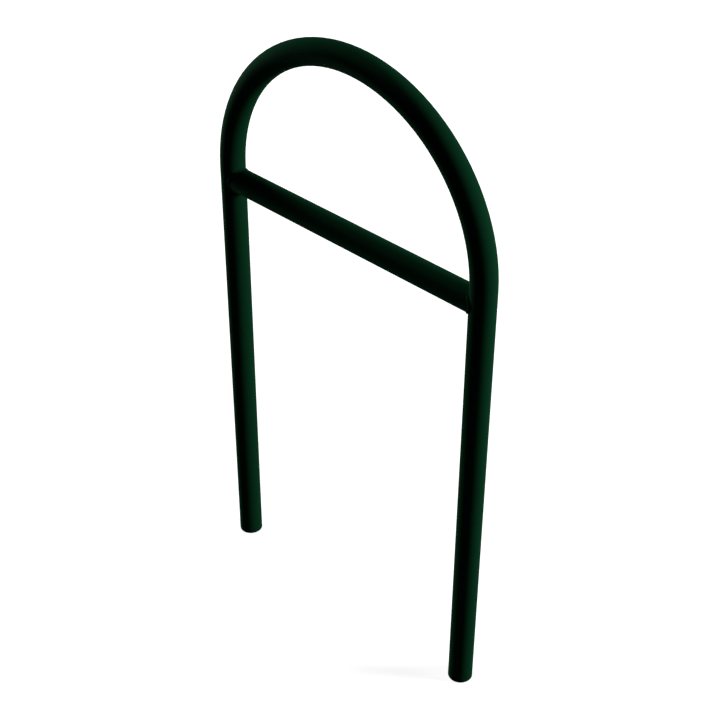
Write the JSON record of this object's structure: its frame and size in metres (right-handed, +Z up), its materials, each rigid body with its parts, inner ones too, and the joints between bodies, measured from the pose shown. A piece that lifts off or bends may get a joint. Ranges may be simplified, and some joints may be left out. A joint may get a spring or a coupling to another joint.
{
  "type": "hoop bike rack",
  "caption": "In-ground bike rack: a round steel tube bent into a tall half-round hoop, with a coped crossbar welded between its legs just below the bend.",
  "frame": {"origin": "midway between the legs, on the tube's axis plane, level with the legs' cut ends", "axes": "+Z up along the legs, +X from the left leg to the right leg, +Y square to the plane of the hoop"},
  "size_m": [0.6682, 0.0496, 1.234],
  "materials": {
    "powder_coat": "dark green matt powder coat with a fine orange-peel surface, on galvanised steel tube",
    "powder_coat_weld": "the same dark green powder coat over a rippled weld bead"
  },
  "bodies": {
    "root": {"hoop": "powder_coat", "crossbar": "powder_coat", "weld_left": "powder_coat_weld", "weld_right": "powder_coat_weld"}
  },
  "joints": []
}
